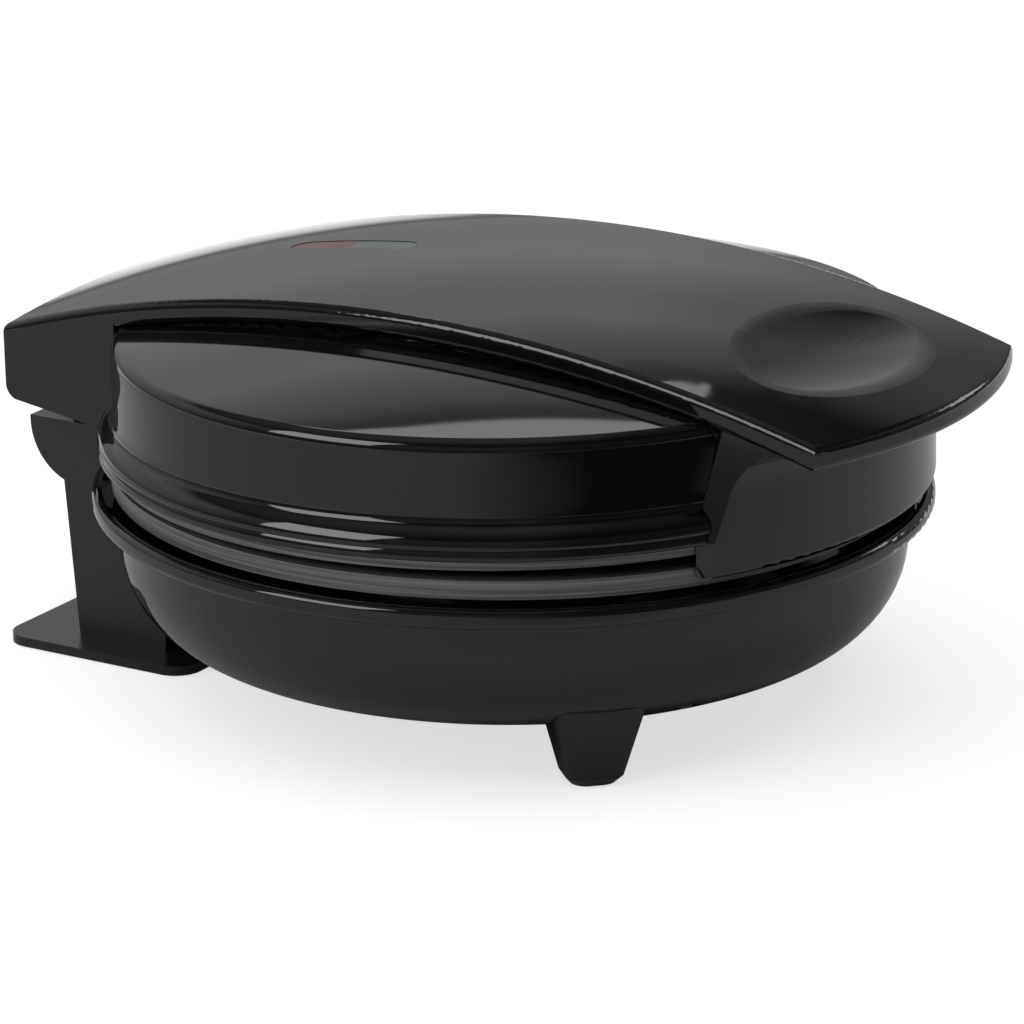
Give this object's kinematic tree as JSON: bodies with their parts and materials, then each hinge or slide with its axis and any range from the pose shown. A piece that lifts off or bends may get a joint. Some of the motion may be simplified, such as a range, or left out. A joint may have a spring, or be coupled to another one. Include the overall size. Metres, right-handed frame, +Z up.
{
  "type": "donut maker",
  "caption": "Countertop donut maker: round hinged body in gloss black with ring-shaped baking hollows in two plates, a domed bridge cover with a front handle lip, and a rear stand.",
  "frame": {"origin": "on the table under the axis of the baking plates, at the centre of the footprint", "axes": "+Z up, +Y to the hinge at the rear, -Y to the handle lip at the front, +X to the right seen from the front"},
  "size_m": [0.21, 0.2486, 0.1085],
  "materials": {
    "gloss_black": "piano-black gloss moulding",
    "satin_black": "satin black moulding",
    "nonstick_plate": "dark non-stick coated cast aluminium",
    "steel": "plain steel",
    "reflector_sheet": "bright sheet",
    "gland_rubber": "soft black bush",
    "white_plastic": "heat-proof off-white moulding",
    "red_lens": "tinted lens, unlit",
    "green_lens": "tinted lens, unlit",
    "lamp_glass": "neon lamp glass"
  },
  "bodies": {
    "base": {"base_shell": "gloss_black", "front_foot_left": "satin_black", "front_foot_right": "satin_black", "rear_stand": "satin_black", "hinge_pin_left": "steel", "hinge_pin_right": "steel", "foot_plate": "satin_black", "foot_plate_screws": "steel", "stand_screws": "steel", "cord_gland": "gland_rubber", "lower_plate": "nonstick_plate", "lower_element": "steel", "lower_reflector": "reflector_sheet", "thermostat": "white_plastic", "thermal_fuse": "steel", "terminal_block": "white_plastic", "base_plate_screws": "steel"},
    "lid": {"lid_shell": "gloss_black", "top_cover": "gloss_black", "upper_plate": "nonstick_plate", "upper_element": "steel", "upper_reflector": "reflector_sheet", "lid_plate_screws": "steel", "hinge_bracket": "satin_black", "bracket_screws": "steel", "cover_screws": "steel", "red_lens": "red_lens", "green_lens": "green_lens", "red_lamp": "lamp_glass", "green_lamp": "lamp_glass", "lamp_holder": "white_plastic"}
  },
  "joints": [
    {"name": "lid_hinge", "type": "hinge", "parent": "base", "child": "lid", "pos_m": [0, 0.1035, 0.0585], "axis": [-1, 0, 0], "range_deg": [-0.9, 96]}
  ]
}
